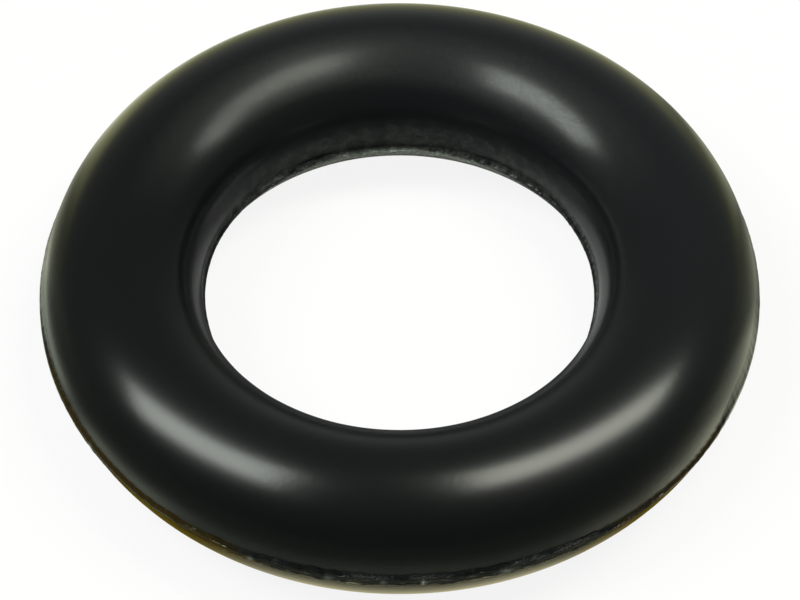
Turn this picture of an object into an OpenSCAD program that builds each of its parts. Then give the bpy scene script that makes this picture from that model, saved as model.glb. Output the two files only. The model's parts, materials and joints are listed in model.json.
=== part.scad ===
// O-ring: a moulded rubber sealing ring of round section. The mould closes at
// mid-height, so a trimmed ridge of flash runs round the rim and round the bore.

/* [Ring] */
// Diameter of the bore, taken on the round section
inside_d = 4.47; // [3:0.01:12]
// Diameter of the round section
section_d = 1.78; // [1.2:0.01:3.6]

/* [Flash at the parting line] */
// How far the trimmed flash stands out of the section at the rim
rim_flash_h = 0.04; // [0.01:0.005:0.08]
// How far the trimmed flash stands out of the section in the bore
bore_flash_h = 0.045; // [0.01:0.005:0.08]
// Height of the flat that the trimming leaves on the flash
flash_land = 0.14; // [0.04:0.01:0.2]
// Slope of the flash's flanks, measured from the parting plane
flash_flank = 45; // [20:1:50]

/* [Hidden] */
$fn = 180;
section_r = section_d / 2;
ring_r = inside_d / 2 + section_r;
// The flash's flanks run on to this depth inside the round section
flash_sink = section_r / 5;

// The ridge of flash that stands out of the round section towards +X, with its
// origin at the section's centre: a flat land between two flanks, which widen
// towards the section and end inside it
module flash_section(height) {
    land_half = flash_land / 2;
    base_half = land_half + (height + flash_sink) * tan(flash_flank);
    land_x = section_r + height;
    base_x = section_r - flash_sink;
    polygon([
        [base_x, -base_half],
        [land_x, -land_half],
        [land_x, land_half],
        [base_x, base_half]
    ]);
}

// Section of the ring, cut from its axis outwards: the flash points away from
// the axis at the rim and towards it in the bore
module ring_section() {
    translate([ring_r, 0]) {
        circle(r = section_r);
        flash_section(rim_flash_h);
        rotate(180) flash_section(bore_flash_h);
    }
}

module o_ring() {
    color([0.1, 0.11, 0.1]) rotate_extrude() ring_section();
}

o_ring();
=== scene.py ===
# An o-ring of black moulded rubber, with the trimmed flash of its parting line.
# Everything is in metres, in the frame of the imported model.
import json
import math

import bpy
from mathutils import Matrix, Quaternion, Vector, noise


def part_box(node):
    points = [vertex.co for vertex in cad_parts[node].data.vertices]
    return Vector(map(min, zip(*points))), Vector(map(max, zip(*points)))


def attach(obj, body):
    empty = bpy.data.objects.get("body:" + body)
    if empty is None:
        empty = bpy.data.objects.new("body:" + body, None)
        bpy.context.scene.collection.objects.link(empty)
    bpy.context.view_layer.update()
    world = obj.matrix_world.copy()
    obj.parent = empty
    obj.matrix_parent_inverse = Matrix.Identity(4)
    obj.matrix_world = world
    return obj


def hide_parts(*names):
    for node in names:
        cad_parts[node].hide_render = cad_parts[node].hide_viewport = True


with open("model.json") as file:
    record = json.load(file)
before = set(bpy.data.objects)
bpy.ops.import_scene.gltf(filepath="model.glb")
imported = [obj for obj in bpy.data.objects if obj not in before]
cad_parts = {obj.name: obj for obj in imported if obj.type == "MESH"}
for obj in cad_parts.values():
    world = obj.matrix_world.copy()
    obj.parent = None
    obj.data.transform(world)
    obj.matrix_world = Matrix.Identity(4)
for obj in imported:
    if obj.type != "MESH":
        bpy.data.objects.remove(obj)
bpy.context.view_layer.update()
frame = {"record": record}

MM = 0.001

# ---- sizes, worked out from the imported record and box, and the height of the bore's flash ----
mounts = {m["name"]: m for m in frame["record"]["mounts"]}
node_lo, node_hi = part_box("o_ring")
SECTION_R = (node_hi[2] - node_lo[2]) / 2
BORE_LAND_R = mounts["bore"]["dims"]["r_mm"] * MM
RIM_LAND_R = mounts["rim"]["dims"]["r_mm"] * MM
LAND_HALF = mounts["rim"]["dims"]["length_mm"] * MM / 2
BORE_FLASH = 0.045 * MM
RING_R = BORE_LAND_R + BORE_FLASH + SECTION_R
RIM_FLASH = RIM_LAND_R - RING_R - SECTION_R
FLOOR_Z = node_lo[2]

# ---- studio ----
# Share of the floor's look to the camera that is plain white; the rest is lit and keeps the shadow
FLOOR_WHITE = 0.88
FLOOR_GREY = 0.9
FLOOR_SECTORS = 96
# Radii of the floor's rings: the first, the step between the fine ones and their number, and the outer ones
FLOOR_START, FLOOR_STEP, FLOOR_FINE = 0.0005, 0.0001, 76
FLOOR_OUTER = [0.009, 0.01, 0.012, 0.015, 0.02, 0.03, 0.06, 0.4]
# How bright the world is for plain light, and how bright its wall behind the ring is for the gloss
WORLD_LEVEL = 0.1
WALL_LEVEL = 0.36
# Soft boxes: name, place, distance, facing, roll, size, radiance, tint; see area_light
BOXES = [
    ("left_box", (51.0, -178.6), 0.15, (52.9, -98.2), -11.6, (0.1205, 0.0605), 8.3, (0.97, 1.05, 0.96)),
    ("right_box", (54.9, 7.8), 0.15, (68.6, -140.8), -25.4, (0.0441, 0.1511), 8.8, (1.02, 1.05, 0.92)),
]

# ---- camera ----
CAMERA_ELEVATION = 51.145
# In radii of the ring's middle line
CAMERA_DISTANCE = 16.739
CAMERA_LENS = 208.96
# Pixels by which the picture is shifted, of its width in pixels
CAMERA_SHIFT = (0.27, -12.42)
PICTURE_WIDTH = 800

# ---- colours ----
RUBBER = (0.0042, 0.0051, 0.0054)
LIGHTER_RUBBER = (0.0074, 0.0092, 0.0099)
FILM_BROWN = (0.028, 0.017, 0.001)
DUST_AND_REFLECTION = (0.32, 0.35, 0.31)
SHADE_BROWN = (0.24, 0.175, 0.01)
# colour of the painted pale pool of light on the floor beside the near rim
PALE_TOUCH_LIGHT = (1.0, 0.93, 0.58)

# ---- rubber ----
RUBBER_IOR = 1.5
# How far the highlights are stretched
ANISOTROPY = 0.61
# Sizes of the speckle of wear, of the torn rubber, of chalky dust, of the clouds in the painted reflection
# in the bore and of the even grain
SPECKLE_SIZE = 0.002 * MM
MOTTLE_SIZE = 0.03 * MM
CHALK_SIZE = 0.024 * MM
CLOUD_SIZE = 0.11 * MM
GRAIN_SIZE = 0.05 * MM
RELIEF_DEPTH = 0.016 * MM

# ---- mesh density ----
# Coarse steps round the ring, and fine steps in each of them
STEPS_ROUND = 420
FINE = 4
# Steps of each round part of the section and of the land, and points of each flank
ARC_STEPS = 32
LAND_STEPS = 7
FOOT_POINTS = 2
# Share of a step by which the outermost rows of a round part keep off its ends
ARC_MARGIN = 0.15
# Steps over which the look of the flash fades into the round part
LOOK_FADE = 3

# ---- trimming of the flash, seen round the ring ----
# Share of the flash's full height that it has before its unevenness is added
RISE_SHARE = 0.93
# How far a flank runs where the flash is torn and where it is smooth
RIM_FLANK = (0.016 * MM, 0.045 * MM)
BORE_FLANK = (0.026 * MM, 0.026 * MM)
# Depth of the torn grooves under and over the flash
RIM_GROOVES = (0.002 * MM, 0.011 * MM)
BORE_GROOVES = (0.0, 0.014 * MM)
# Where the rim's flash has a brown film, and where its upper edge is trimmed lower: from, to, and how soft
FILM_LEFT = (-160, -122, 18)
FILM_RIGHT = (-52, -32, 10)
TRIM_DIP = (-56, -34, 10)
# Torn crumbs that stand pale on the flash: side, place round the ring in degrees, width in degrees, paleness
CRUMBS = [
    ("rim", -86.4, 0.28, 1.0),
    ("rim", -73.6, 0.9, 0.5),
    ("rim", -92.5, 0.4, 0.3),
    ("rim", -101.0, 0.6, 0.35),
    ("rim", -113.5, 0.5, 0.55),
    ("rim", -147.0, 0.5, 0.9),
    ("bore", 83.0, 1.2, 0.8),
    ("bore", 101.0, 0.9, 0.6),
    ("bore", 125.0, 2.0, 0.5),
    ("bore", 61.0, 1.5, 0.5),
]


def fbm(seed, angle, turns, octaves=3):
    """Smooth noise in -1..1 along a closed circle, with about `turns` waves in the first octave."""
    total, weight = 0.0, 0.0
    for k in range(octaves):
        radius = turns * 2**k / (2 * math.pi)
        amount = 0.55**k
        p = Vector((radius * math.cos(angle), radius * math.sin(angle), seed * 7.31 + k * 3.17))
        total += amount * noise.noise(p)
        weight += amount
    return 1.6 * total / weight


def blend(a, b, amount):
    """The mix of two colours: a at 0, b at 1."""
    return [p + (q - p) * amount for p, q in zip(a, b)]


def step_down(x, start, end):
    """1 up to start, falling smoothly to 0 at end."""
    t = min(1, max(0, (end - x) / (end - start)))
    return t * t * (3 - 2 * t)


def window(angle, start, end, soft):
    """1 between two places round the ring, in degrees, falling to 0 over soft degrees outside them."""
    middle, half = (start + end) / 2, (end - start) / 2
    away = abs((math.degrees(angle) - middle + 180) % 360 - 180) - half
    return step_down(away, 0, soft)


class Flash:
    """The flash on one side of the section: how it wanders and how ragged its trimming is."""

    def __init__(self, side, seed, height, land_half, sink, sag, rag, proud, flank, grooves):
        self.side, self.seed, self.height, self.proud = side, seed, height, proud
        self.land_half, self.sink, self.sag, self.rag = land_half, sink, sag, rag
        self.flank, self.grooves = flank, grooves

    def torn(self, angle):
        """How torn the trimmed land is: fully in one stretch of the ring, next to smooth elsewhere."""
        return 0.05 + 0.95 * window(angle, *self.proud)

    def crumb(self, angle):
        """How pale a torn crumb is at this place."""
        best = 0.0
        for side, place, width, pale in CRUMBS:
            if side == self.side:
                away = (math.degrees(angle) - place + 180) % 360 - 180
                best = max(best, pale * math.exp(-((away / width) ** 2)))
        return best

    def film(self, angle):
        """How much of the brown film is on the flash."""
        if self.side == "bore":
            return 0.0
        return max(window(angle, *FILM_LEFT), 0.8 * window(angle, *FILM_RIGHT))

    def rows(self, angle):
        """Points from the lower root to the upper root: depth outwards, height, and how they look."""
        f = self.seed
        sink = self.sink + self.sag * max(0, math.sin(angle)) ** 2
        low = sink - self.land_half + self.rag * (
            0.5 * fbm(f + 1, angle, 14) + 0.6 * fbm(f + 2, angle, 90) + 0.6 * fbm(f + 8, angle, 330, 2)
        )
        high = sink + self.land_half + self.rag * (
            0.4 * fbm(f + 3, angle, 11) + 0.5 * fbm(f + 4, angle, 80) + 0.7 * fbm(f + 9, angle, 300, 2)
        )
        torn = self.torn(angle)
        film = self.film(angle)
        crumb = self.crumb(angle)
        sharp = max(torn, film)
        if self.side == "rim":
            high -= 0.035 * MM * film + 0.045 * MM * window(angle, *TRIM_DIP)
        slow = 0.12 * fbm(f + 5, angle, 9)
        quick = (0.02 + 0.18 * torn) * fbm(f + 6, angle, 130)
        rise = self.height * (1 + slow + quick)
        top = self.height / RISE_SHARE

        def on_circle(z):
            return math.sqrt(SECTION_R**2 - z * z)

        def foot(edge, way, depth, stain):
            """The two points of a flank: a torn one ends in a groove, a smooth one runs out gently."""
            run = self.flank[1] + (self.flank[0] - self.flank[1]) * sharp
            near = edge + way * run
            far = edge + way * 2.5 * run
            cut = torn * depth * max(0, 0.35 + 2.8 * fbm(f + 10 + way, angle, 60))
            return [
                (on_circle(near) - cut + 0.45 * (1 - sharp) * rise, near, (0.5 * torn, 0, stain)),
                (on_circle(far), far, (0.3 * torn, 0, 0.3 * stain)),
            ]

        out = foot(low, -1, self.grooves[0], film)[::-1]
        for i in range(LAND_STEPS + 1):
            t = i / LAND_STEPS
            z = low + (high - low) * t
            wobble = (0.02 + 0.14 * torn) * rise * fbm(f + 20 + i, angle, 260, 2)
            edge = (0.4 - 0.28 * torn) * rise * abs(2 * t - 1) ** 4
            spot = crumb * math.exp(-(((t - 0.45) / 0.3) ** 2))
            stain = min(1, max(0, 3 * film - 1.9 * t + 0.5 * film * fbm(f + 30, angle, 90)))
            patch = torn * min(1, max(0, 0.55 + 1.3 * fbm(f + 40 + 3 * t, angle, 70)))
            out.append((SECTION_R + min(rise + wobble - edge, top), z, (patch, spot, stain)))
        out += foot(high, 1, self.grooves[1], max(0, 2 * film - 1))
        return out


RIM = Flash(
    side="rim",
    seed=1.0,
    height=RIM_FLASH * RISE_SHARE,
    land_half=LAND_HALF * 0.85,
    sink=-0.018 * MM,
    sag=0.0,
    rag=0.022 * MM,
    proud=(-120, -54, 14),
    flank=RIM_FLANK,
    grooves=RIM_GROOVES,
)
BORE = Flash(
    side="bore",
    seed=11.0,
    height=BORE_FLASH * RISE_SHARE,
    land_half=LAND_HALF * 0.4,
    sink=-0.09 * MM,
    sag=-0.13 * MM,
    rag=0.016 * MM,
    proud=(56, 124, 34),
    flank=BORE_FLANK,
    grooves=BORE_GROOVES,
)


def ring_rows(angle, fine_only):
    """Rows of (radius, height, look) of the section at one place, without its round parts if fine_only."""
    rim = RIM.rows(angle)
    bore = BORE.rows(angle)
    rows = [(RING_R + x, z, look) for x, z, look in rim]
    if not fine_only:
        start = math.asin(rim[-1][1] / SECTION_R)
        end = math.pi - math.asin(bore[-1][1] / SECTION_R)
        rows += arc_rows(start, end, (0.2 * RIM.torn(angle), 0, 0), (0.6 * BORE.torn(angle), 0, 0))
    rows += [(RING_R - x, z, look) for x, z, look in reversed(bore)]
    if not fine_only:
        start = math.pi - math.asin(bore[0][1] / SECTION_R)
        end = 2 * math.pi + math.asin(rim[0][1] / SECTION_R)
        to_rim = (0.35 * RIM.torn(angle), 0, RIM.film(angle))
        rows += arc_rows(start, end, (0.6 * BORE.torn(angle), 0, 0), to_rim)
    return rows


def arc_rows(start, end, look_start, look_end):
    """Rows of a round part of the section; the outer two lie close to its ends, for crisp shading."""
    steps = [ARC_MARGIN] + list(range(1, ARC_STEPS)) + [ARC_STEPS - ARC_MARGIN]
    out = []
    for i in steps:
        a = start + (end - start) * i / ARC_STEPS
        near_start = max(0, 1 - i / LOOK_FADE)
        near_end = max(0, 1 - (ARC_STEPS - i) / LOOK_FADE)
        look = [p * near_start + q * near_end for p, q in zip(look_start, look_end)]
        out.append((RING_R + SECTION_R * math.cos(a), SECTION_R * math.sin(a), look))
    return out


def make_ring():
    """The whole ring: the flash in fine steps round the ring, the round parts in steps FINE times longer."""
    verts, looks, rows = [], [], []
    band = LAND_STEPS + 1 + 2 * FOOT_POINTS
    arc = ARC_STEPS + 1
    fine_rows = set(range(band)) | set(range(band + arc, 2 * band + arc))
    total = 2 * (band + arc)
    for i in range(total):
        count = STEPS_ROUND * (FINE if i in fine_rows else 1)
        rows.append([None] * count)
    for k in range(STEPS_ROUND * FINE):
        angle = 2 * math.pi * k / (STEPS_ROUND * FINE)
        c, s = math.cos(angle), math.sin(angle)
        coarse = k % FINE == 0
        section = ring_rows(angle, not coarse)
        places = range(total) if coarse else sorted(fine_rows)
        for i, (r, z, look) in zip(places, section):
            rows[i][k if i in fine_rows else k // FINE] = len(verts)
            verts.append((r * c, r * s, z))
            looks.append(look)
    faces = []
    for i in range(total):
        a, b = rows[i], rows[(i + 1) % total]
        if len(a) == len(b):
            n = len(a)
            faces += [(a[k], a[(k + 1) % n], b[(k + 1) % n], b[k]) for k in range(n)]
            continue
        for k in range(STEPS_ROUND):
            j = (k + 1) % STEPS_ROUND
            if len(a) > len(b):
                edge = [a[(FINE * k + m) % len(a)] for m in range(FINE + 1)]
                faces.append((*edge, b[j], b[k]))
            else:
                edge = [b[(FINE * k + m) % len(b)] for m in range(FINE, -1, -1)]
                faces.append((a[k], a[j], *edge))
    mesh = bpy.data.meshes.new("rubber_ring")
    mesh.from_pydata(verts, [], faces)
    look = mesh.color_attributes.new("look", "FLOAT_COLOR", "POINT")
    for i, value in enumerate(looks):
        look.data[i].color = (*value, 1)
    mesh.update()
    for p in mesh.polygons:
        p.use_smooth = True
    ring = bpy.data.objects.new("rubber_ring", mesh)
    bpy.context.scene.collection.objects.link(ring)
    return ring


def node(tree, kind, **values):
    """A new node; values are its properties, or its inputs by name with _ for a blank."""
    n = tree.nodes.new(kind)
    for key, value in values.items():
        if hasattr(n, key):
            setattr(n, key, value)
        else:
            n.inputs[key.replace("_", " ")].default_value = value
    return n


def plug(tree, sockets, values):
    """Give each socket its number or its colour, or link the output that stands for it."""
    for socket, value in zip(sockets, values):
        if isinstance(value, (int, float)):
            socket.default_value = value
        elif isinstance(value, tuple):
            socket.default_value = (*value, 1)
        else:
            tree.links.new(value, socket)


def node_outputs(tree, kind, value):
    """A node of one input and three outputs; gives its outputs."""
    n = node(tree, kind)
    tree.links.new(value, n.inputs[0])
    return n.outputs[:3]


def math_node(tree, operation, a, b, c=0.0, clamp=False):
    """A Math node whose inputs are sockets or numbers; gives its output."""
    n = node(tree, "ShaderNodeMath", operation=operation, use_clamp=clamp)
    plug(tree, n.inputs, (a, b, c))
    return n.outputs[0]


def mix_node(tree, factor, a, b):
    """A colour mix whose inputs are sockets or colours; gives its output."""
    n = node(tree, "ShaderNodeMix", data_type="RGBA")
    plug(tree, (n.inputs[0], n.inputs[6], n.inputs[7]), (factor, a, b))
    return n.outputs[2]


def smooth_step(tree, value, low, high):
    """0 at low rising smoothly to 1 at high; falling if high is the lower of the two."""
    n = node(tree, "ShaderNodeMapRange", interpolation_type="SMOOTHSTEP")
    plug(tree, n.inputs, (value, low, high, 0.0, 1.0))
    return n.outputs[0]


def grain(tree, place, size, detail):
    """Noise whose blobs are about `size` metres across."""
    n = node(tree, "ShaderNodeTexNoise", Scale=1 / size, Detail=detail, Roughness=0.55)
    tree.links.new(place, n.inputs["Vector"])
    return n.outputs[0]


def rubber():
    """Black rubber with its gloss, dust, film and torn relief, and a painted reflection of the floor low in
    the bore at the back.
    """
    mat = bpy.data.materials.new("black_rubber")
    mat.use_nodes = True
    tree = mat.node_tree
    links = tree.links
    bsdf = tree.nodes["Principled BSDF"]
    bsdf.inputs["IOR"].default_value = RUBBER_IOR
    bsdf.inputs["Anisotropic"].default_value = ANISOTROPY
    bsdf.inputs["Anisotropic Rotation"].default_value = 0.25
    tangent = node(tree, "ShaderNodeTangent", direction_type="RADIAL", axis="Z")
    links.new(tangent.outputs[0], bsdf.inputs["Tangent"])

    place = node(tree, "ShaderNodeTexCoord").outputs["Object"]
    x, y, z = node_outputs(tree, "ShaderNodeSeparateXYZ", place)
    look = node(tree, "ShaderNodeVertexColor", layer_name="look").outputs[0]
    trim, crumb, film = node_outputs(tree, "ShaderNodeSeparateColor", look)

    # how far inside the middle of the section, and how far to the back and to the right
    radius = node(tree, "ShaderNodeVectorMath", operation="LENGTH")
    flat = node(tree, "ShaderNodeCombineXYZ")
    links.new(x, flat.inputs[0])
    links.new(y, flat.inputs[1])
    links.new(flat.outputs[0], radius.inputs[0])
    inside = smooth_step(tree, radius.outputs["Value"], RING_R + 0.1 * MM, RING_R - 0.25 * MM)
    back = smooth_step(tree, y, -2.5 * MM, 2.5 * MM)
    left = smooth_step(tree, x, 1.5 * MM, -1.5 * MM)
    side = smooth_step(tree, math_node(tree, "ABSOLUTE", x, 0.0), 0.9 * MM, 2.0 * MM)
    high = smooth_step(tree, math_node(tree, "ABSOLUTE", z, 0.0), 0.48 * MM, 0.75 * MM)

    # a haze of fine wear: dense in the bore side at the back, thin elsewhere
    start = math_node(tree, "MULTIPLY_ADD", left, 0.12 * MM, 0.5 * MM)
    top = smooth_step(tree, z, start, math_node(tree, "ADD", start, 0.17 * MM))
    far = smooth_step(tree, y, 0.2 * MM, 1.9 * MM)
    dense = math_node(tree, "MULTIPLY_ADD", left, 0.28, 0.36)
    haze = math_node(tree, "MULTIPLY", math_node(tree, "MULTIPLY", inside, top), far)
    haze = math_node(tree, "MULTIPLY_ADD", haze, dense, 0.02)
    cell = node(tree, "ShaderNodeVectorMath", operation="SNAP")
    links.new(place, cell.inputs[0])
    cell.inputs[1].default_value = [SPECKLE_SIZE] * 3
    speckle = node(tree, "ShaderNodeTexWhiteNoise")
    links.new(cell.outputs[0], speckle.inputs["Vector"])
    worn = math_node(tree, "LESS_THAN", speckle.outputs["Value"], haze)
    smooth = math_node(tree, "MULTIPLY_ADD", high, 0.083, 0.15)
    dull = math_node(tree, "MULTIPLY_ADD", side, 0.3, 0.27)
    rough = math_node(tree, "MULTIPLY_ADD", worn, dull, smooth)
    mottle = grain(tree, place, MOTTLE_SIZE, 3.0)
    trimmed = math_node(tree, "MULTIPLY", trim, math_node(tree, "SUBTRACT", 1.0, film))
    links.new(math_node(tree, "MULTIPLY_ADD", trimmed, 0.4, rough), bsdf.inputs["Roughness"])

    # colour: black, lighter towards the back and right, pale crumbs and a brown film on the flash, and a
    # painted reflection of the floor in the bore
    # the body is lighter towards the back and right, a little less so in the bore
    corner = math_node(tree, "MULTIPLY_ADD", x, 0.7, math_node(tree, "MULTIPLY", y, 0.8))
    lighter_back_right = smooth_step(tree, corner, -1.5 * MM, 2.8 * MM)
    lighter_back_right = math_node(tree, "MULTIPLY", lighter_back_right, math_node(tree, "MULTIPLY_ADD", inside, -0.15, 1.0))
    body = mix_node(tree, lighter_back_right, RUBBER, LIGHTER_RUBBER)
    chalk = smooth_step(tree, grain(tree, place, CHALK_SIZE, 2.0), 0.6, 0.7)
    chalk = math_node(tree, "MULTIPLY", chalk, math_node(tree, "SUBTRACT", 0.3, film, clamp=True))
    pale = math_node(tree, "MAXIMUM", math_node(tree, "MULTIPLY", chalk, trim), crumb)
    # painted reflection of the floor low in the bore at the back: a cloudy pale coat that grows downwards,
    # and a pale band under the flash
    cloud = smooth_step(tree, grain(tree, place, CLOUD_SIZE, 3.0), 0.3, 0.75)
    painted_reflection = math_node(tree, "POWER", smooth_step(tree, z, 0.5 * MM, -0.08 * MM), 2.0)
    painted_reflection = math_node(tree, "MULTIPLY", math_node(tree, "MULTIPLY", painted_reflection, cloud), 0.1)
    painted_band = smooth_step(tree, z, -0.165 * MM, -0.215 * MM)
    painted_band = math_node(tree, "MULTIPLY", painted_band, smooth_step(tree, z, -0.7 * MM, -0.48 * MM))
    painted_band = math_node(tree, "MULTIPLY", painted_band, math_node(tree, "MULTIPLY_ADD", mottle, 1.8, -0.1))
    bore = math_node(tree, "MULTIPLY", inside, back)
    painted_reflection = math_node(tree, "MAXIMUM", painted_reflection, painted_band)
    # the pale mix holds the real chalk and crumbs, and the painted reflection of the floor in the bore at
    # the back
    pale = math_node(tree, "MAXIMUM", pale, math_node(tree, "MULTIPLY", painted_reflection, bore))
    colour = mix_node(tree, film, body, FILM_BROWN)
    # one pale colour for the chalk and crumbs and for the painted reflection in the bore
    colour = mix_node(tree, pale, colour, DUST_AND_REFLECTION)
    links.new(colour, bsdf.inputs["Base Color"])

    # relief: an even fine grain, with torn rubber on the flash
    torn = math_node(tree, "MULTIPLY", math_node(tree, "MULTIPLY", mottle, trim), 1.3)
    cloudy = math_node(tree, "MULTIPLY_ADD", high, -0.09, 0.13)
    relief = math_node(tree, "MULTIPLY_ADD", grain(tree, place, GRAIN_SIZE, 3.0), cloudy, torn)
    bump = node(tree, "ShaderNodeBump", Strength=1.0, Distance=RELIEF_DEPTH)
    links.new(relief, bump.inputs["Height"])
    links.new(bump.outputs[0], bsdf.inputs["Normal"])
    return mat


def towards(elevation, azimuth):
    """The unit vector to a place given in degrees."""
    e, a = math.radians(elevation), math.radians(azimuth)
    return Vector((math.cos(e) * math.cos(a), math.cos(e) * math.sin(a), math.sin(e)))


def area_light(name, at, distance, faces, roll, size, radiance, tint=(1, 1, 1)):
    """A soft box; at and faces are (elevation, azimuth) of its place, and of its back."""
    data = bpy.data.lights.new(name, "AREA")
    data.shape = "RECTANGLE"
    data.size, data.size_y = size
    data.energy = radiance * math.pi * size[0] * size[1]
    data.color = tint
    lamp = bpy.data.objects.new(name, data)
    lamp.location = towards(*at) * distance
    turn = towards(*faces).to_track_quat("Z", "Y") @ Quaternion((0, 0, 1), math.radians(roll))
    lamp.rotation_euler = turn.to_euler()
    lamp.visible_camera = False
    bpy.context.scene.collection.objects.link(lamp)


# Painted pools of light on the floor, seen only in the rubber's reflections: from and to, in degrees round
# the ring, and how soft that is; level; where it peaks, in mm from the rim, and its reach beyond that
GLOW = [
    (20, 160, 30, 0.09, 0.8, 60),
    (58, 132, 12, 0.4, 1.0, 60),
    (128, 138, 8, 0.48, 1.0, 5),
    (122, 127, 7, 0.28, 1.2, 60),
    (68, 125, 18, 0.38, 1.8, 1.5),
    (146, 162, 9, 0.3, 0.8, 1.6),
    (33, 42, 8, 0.4, 1.5, 4),
    (5, 20, 8, 0.2, 0.3, 2),
    (168, 186, 14, 0.6, 0.9, 0.42),
    (-154, -142, 14, 0.54, 0.85, 0.55),
    (-130, -50, 20, 0.26, 1.0, 0.85),
    (-98, -82, 8, 0.08, 1.0, 1.5),
    (-50, -40, 10, 0.45, 0.5, 0.6),
    (-33, -20, 9, 0.9, 0.35, 1.0),
    (-11, 0, 7, 0.42, 1.0, 3.2),
    (-22, -3, 9, 0.55, 0.1, 1.5),
]


def floor_glow(x, y):
    """Painted light and shade of the floor as the rubber reflects it: pools of light, a painted brown shade
    and a painted pale touch of light.
    """
    r, side = math.hypot(x, y), math.atan2(y, x)
    rim, bore = RING_R + SECTION_R, RING_R - SECTION_R
    if r < RING_R:
        mm = r / MM
        right = max(window(side, 18, 26, 8), window(side, 26, 66, 16) * step_down(mm, 2.02, 2.24))
        level = 0.07 + 0.31 * right * step_down(-mm, -1.75, -1.4)
        level += 0.15 * window(side, 68, 112, 18) * step_down(mm, 1.5, 2.0)
        level += 0.2 * window(side, 128, 148, 12) * step_down(-mm, -1.8, -1.5)
        level *= 0.3 + 0.7 * math.exp(-((max(0, r - bore - 0.27 * MM) / (0.15 * MM)) ** 2))
        return (level, 1.03 * level, level)
    away = (r - rim) / MM
    back = window(side, 30, 140, 20) * min(1, max(0, (away - 1) / 3))
    level = 0.1
    for start, end, soft, amount, peak, reach in GLOW:
        fall = 1 + (max(0, away - peak) / reach) ** 2
        level += amount * window(side, start, end, soft) * step_down(-away, -peak, -0.2 * peak) / fall
    level = min(1.1, level)
    warm = window(side, -40, 150, 30)
    floor = (level * (0.9 + 0.08 * warm), level, level * (0.8 - 0.05 * warm - 0.2 * back))
    # close to the ring: a painted brown shade at the left and right, a painted pale pool of light at the
    # near side
    left_wide = 0.1 + 0.34 * window(side, -140, -128, 24)
    left_shade = window(side, -165, -124, 12) * step_down(away, left_wide, left_wide + 0.18)
    right_wide = 0.02 + 0.15 * window(side, -60, -32, 14)
    right_shade = window(side, -54, -24, 9) * step_down(away, right_wide, right_wide + 0.16)
    deep = 0.3 + 0.7 * window(side, -138, -40, 16)
    floor = blend(floor, [c * deep for c in SHADE_BROWN], max(left_shade, right_shade))
    touch_light = 0.95 * window(side, -104, -72, 26) * step_down(away, 0.06, 0.26)
    touch_light = max(touch_light, 0.4 * window(side, -112, -56, 12) * step_down(away, 0, 0.16))
    return blend(floor, PALE_TOUCH_LIGHT, touch_light)


def make_floor():
    """A round floor that is white to the camera, with its shadow, and shows the rubber's gloss painted
    patches of light and shade.
    """
    radii = [FLOOR_START + FLOOR_STEP * k for k in range(FLOOR_FINE)] + FLOOR_OUTER
    sectors = FLOOR_SECTORS
    verts, faces = [(0, 0, 0)], []
    for r in radii:
        for k in range(sectors):
            a = 2 * math.pi * k / sectors
            verts.append((r * math.cos(a), r * math.sin(a), 0))
    for k in range(sectors):
        faces.append((0, 1 + k, 1 + (k + 1) % sectors))
    for i in range(len(radii) - 1):
        a, b = 1 + i * sectors, 1 + (i + 1) * sectors
        for k in range(sectors):
            j = (k + 1) % sectors
            faces.append((a + k, b + k, b + j, a + j))
    mesh = bpy.data.meshes.new("floor")
    mesh.from_pydata(verts, [], faces)
    painted_patches = mesh.color_attributes.new("glow", "FLOAT_COLOR", "POINT")
    for i, (x, y, _) in enumerate(verts):
        painted_patches.data[i].color = (*floor_glow(x, y), 1)
    floor = bpy.data.objects.new("floor", mesh)
    floor.location.z = FLOOR_Z
    bpy.context.scene.collection.objects.link(floor)
    mat = bpy.data.materials.new("pale_floor")
    mat.use_nodes = True
    tree = mat.node_tree
    tree.nodes.clear()
    ray = node(tree, "ShaderNodeLightPath")
    matte = node(tree, "ShaderNodeBsdfDiffuse", Color=(FLOOR_GREY, FLOOR_GREY, FLOOR_GREY, 1))
    # the glow is painted light and shade, seen only by glossy rays
    glow = node(tree, "ShaderNodeVertexColor", layer_name="glow")
    bright = node(tree, "ShaderNodeEmission", Strength=1.0)
    shown = mix_node(tree, ray.outputs["Is Glossy Ray"], (1, 1, 1), glow.outputs[0])
    tree.links.new(shown, bright.inputs["Color"])
    camera = math_node(tree, "MULTIPLY", ray.outputs["Is Camera Ray"], FLOOR_WHITE)
    other = math_node(tree, "MAXIMUM", ray.outputs["Is Glossy Ray"], ray.outputs["Is Transmission Ray"])
    mix = node(tree, "ShaderNodeMixShader")
    tree.links.new(math_node(tree, "MAXIMUM", camera, other), mix.inputs[0])
    tree.links.new(matte.outputs[0], mix.inputs[1])
    tree.links.new(bright.outputs[0], mix.inputs[2])
    out = node(tree, "ShaderNodeOutputMaterial")
    tree.links.new(mix.outputs[0], out.inputs[0])
    mesh.materials.append(mat)


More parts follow.
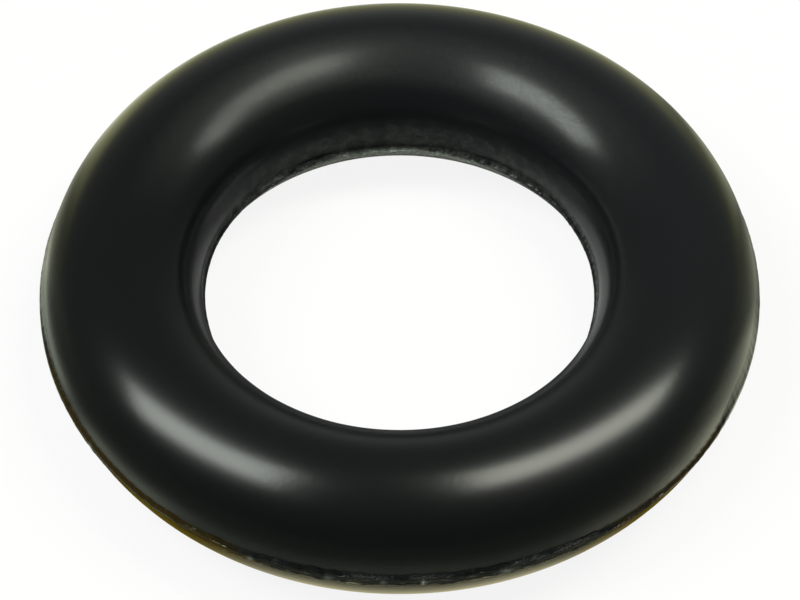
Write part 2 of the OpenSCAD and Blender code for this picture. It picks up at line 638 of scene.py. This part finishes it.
def make_world():
    """Even dim studio light on a white background; the gloss sees a paler wall behind the ring."""
    world = bpy.data.worlds.new("studio")
    bpy.context.scene.world = world
    world.use_nodes = True
    tree = world.node_tree
    back = tree.nodes["Background"]
    heading = node(tree, "ShaderNodeTexCoord").outputs["Generated"]
    _, y, z = node_outputs(tree, "ShaderNodeSeparateXYZ", heading)
    wall = math_node(tree, "POWER", math_node(tree, "MAXIMUM", y, 0.0), 9.0)
    wall = math_node(tree, "MULTIPLY", wall, math_node(tree, "SUBTRACT", 1.0, z, clamp=True))
    room = math_node(tree, "MULTIPLY_ADD", math_node(tree, "MINIMUM", y, 0.0), 0.06, 0.105)
    gloss = math_node(tree, "MULTIPLY_ADD", wall, WALL_LEVEL, room)
    ray = node(tree, "ShaderNodeLightPath")
    seen = math_node(tree, "MAXIMUM", ray.outputs["Is Camera Ray"], ray.outputs["Is Transmission Ray"])
    gloss = math_node(tree, "MULTIPLY", ray.outputs["Is Glossy Ray"], gloss)
    dark = math_node(tree, "SUBTRACT", 1.0, ray.outputs["Is Glossy Ray"])
    plain = math_node(tree, "MULTIPLY_ADD", dark, WORLD_LEVEL, gloss)
    tree.links.new(math_node(tree, "MAXIMUM", seen, plain), back.inputs["Strength"])
    back.inputs["Color"].default_value = (1, 1, 1, 1)


def make_camera():
    """The photograph's viewpoint: distance, height and lens from its perspective."""
    elevation = math.radians(CAMERA_ELEVATION)
    distance = CAMERA_DISTANCE * RING_R
    data = bpy.data.cameras.new("camera")
    data.sensor_width = 36
    data.lens = CAMERA_LENS
    data.clip_start, data.clip_end = 0.001, 2
    data.shift_x = CAMERA_SHIFT[0] / PICTURE_WIDTH
    data.shift_y = CAMERA_SHIFT[1] / PICTURE_WIDTH
    cam = bpy.data.objects.new("camera", data)
    cam.location = (0, -distance * math.cos(elevation), distance * math.sin(elevation))
    cam.rotation_euler = (math.pi / 2 - elevation, 0, 0)
    bpy.context.scene.collection.objects.link(cam)
    bpy.context.scene.camera = cam


make_camera()
ring = make_ring()
ring.data.materials.append(rubber())
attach(ring, "root")
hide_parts("o_ring")
make_floor()
make_world()
for box in BOXES:
    area_light(*box)

bpy.context.scene.view_settings.view_transform = "Standard"
